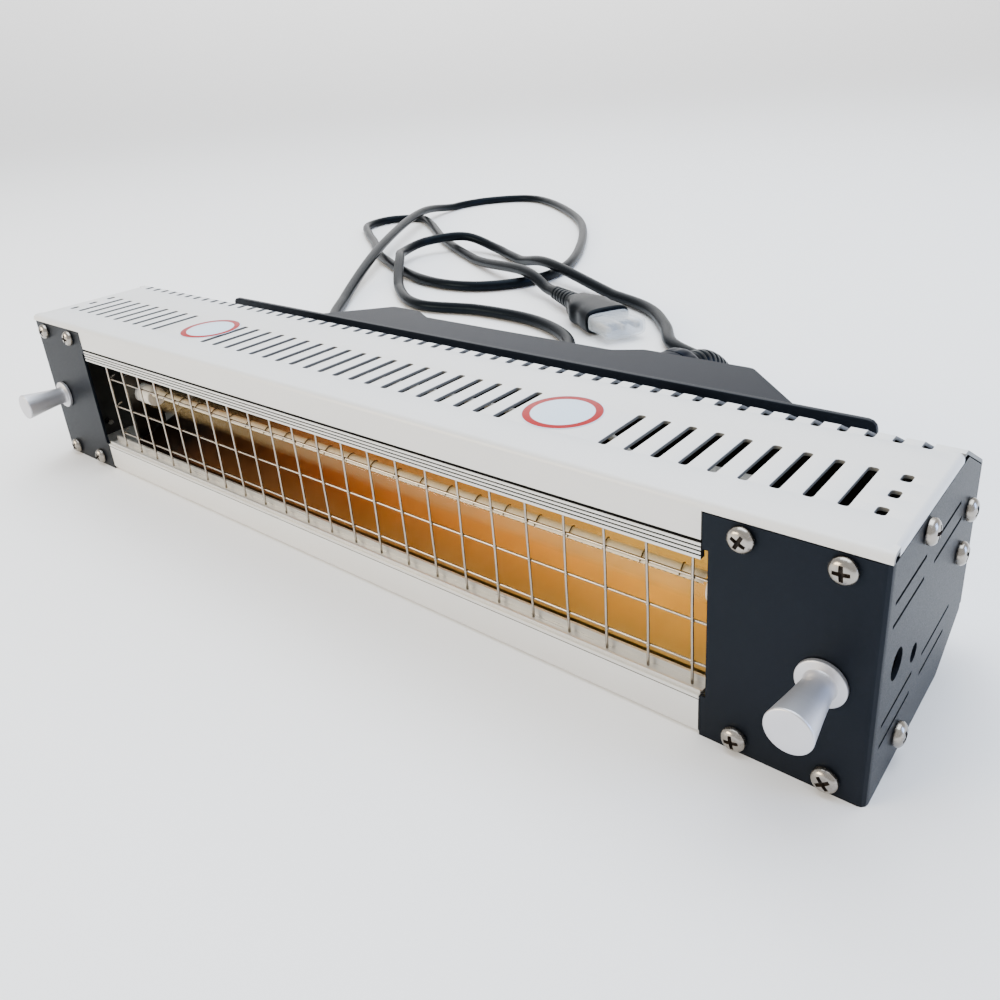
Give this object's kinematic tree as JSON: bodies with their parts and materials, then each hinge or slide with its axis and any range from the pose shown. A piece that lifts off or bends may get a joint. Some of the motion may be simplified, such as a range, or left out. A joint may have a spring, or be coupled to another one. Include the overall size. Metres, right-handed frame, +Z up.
{
  "type": "infrared heat lamp warmer",
  "caption": "Hand-held infrared heat lamp: slotted grey steel housing, gold reflector behind a wire guard, black ends, rear bridge handle and mains cord.",
  "frame": {"origin": "Under the middle of the lamp, its handle, gland and knobs included and the free cord left out, on the plane the housing stands on.", "axes": "+X along the housing to its right end seen from the front, +Y from the window back to the handle, +Z up."},
  "size_m": [0.657, 0.646, 0.0674],
  "materials": {
    "cover_grey": "satin light grey powder coat",
    "cap_black": "fine-textured satin black",
    "bright_steel": "bright zinc-plated sheet",
    "trim_aluminium": "satin extruded",
    "screw_nickel": "nickel plated",
    "knob_aluminium": "satin turned",
    "guard_wire": "bright drawn wire",
    "reflector_gold": "gold anodised, polished",
    "quartz": "clear quartz, rear half coated white",
    "tungsten": "dark drawn coil",
    "ceramic": "unglazed white ceramic",
    "sleeve_white": "braided glass-fibre sleeve",
    "plastic_black": "satin moulded",
    "cord_black": "satin rubber",
    "clear_plastic": "clear moulded"
  },
  "bodies": {
    "lamp": {"bottom_cover": "cover_grey", "cord_gland": "plastic_black", "end_cap_left": "cap_black", "end_cap_right": "cap_black", "end_frame_left": "bright_steel", "end_frame_right": "bright_steel", "filament": "tungsten", "front_screw_left_1": "screw_nickel", "front_screw_left_2": "screw_nickel", "front_screw_left_3": "screw_nickel", "front_screw_left_4": "screw_nickel", "front_screw_right_1": "screw_nickel", "front_screw_right_2": "screw_nickel", "front_screw_right_3": "screw_nickel", "front_screw_right_4": "screw_nickel", "handle_bolt_left": "screw_nickel", "handle_bolt_right": "screw_nickel", "handle_lower_shell": "plastic_black", "handle_plate": "cap_black", "handle_upper_shell": "plastic_black", "inner_flex": "cord_black", "lamp_end_left": "ceramic", "lamp_end_right": "ceramic", "lamp_holder_left": "bright_steel", "lamp_holder_right": "bright_steel", "lamp_lead_left": "sleeve_white", "lamp_lead_right": "sleeve_white", "lower_trim": "trim_aluminium", "mains_cord": "cord_black", "plate_bolt_left": "screw_nickel", "plate_bolt_right": "screw_nickel", "plate_spacer_left": "plastic_black", "plate_spacer_right": "plastic_black", "plug_body": "cord_black", "plug_pin_cover": "clear_plastic", "plug_pin_left": "screw_nickel", "plug_pin_middle": "screw_nickel", "plug_pin_right": "screw_nickel", "quartz_tube": "quartz", "reflector": "reflector_gold", "side_screw_left_1": "screw_nickel", "side_screw_left_2": "screw_nickel", "side_screw_left_3": "screw_nickel", "side_screw_left_4": "screw_nickel", "side_screw_right_1": "screw_nickel", "side_screw_right_2": "screw_nickel", "side_screw_right_3": "screw_nickel", "side_screw_right_4": "screw_nickel", "strain_relief": "cord_black", "switch_housing": "plastic_black", "terminal_block": "ceramic", "top_cover": "cover_grey", "upper_trim": "trim_aluminium", "wire_guard": "guard_wire"},
    "knob_left": {"stand_off_knob_left": "knob_aluminium", "knob_screw_left": "screw_nickel"},
    "knob_right": {"stand_off_knob_right": "knob_aluminium", "knob_screw_right": "screw_nickel"},
    "rocker": {"switch_rocker": "plastic_black"}
  },
  "joints": [
    {"name": "knob_left_turn", "type": "hinge", "parent": "lamp", "child": "knob_left", "pos_m": [-0.177, -0.06765, 0.031], "axis": [0, 1, 0], "continuous": true},
    {"name": "knob_right_turn", "type": "hinge", "parent": "lamp", "child": "knob_right", "pos_m": [0.177, -0.06765, 0.031], "axis": [0, 1, 0], "continuous": true},
    {"name": "switch_rock", "type": "hinge", "parent": "lamp", "child": "rocker", "pos_m": [0.0855, 0.07015, 0.0337], "axis": [0, 0, 1], "range_deg": [0, 20]}
  ]
}
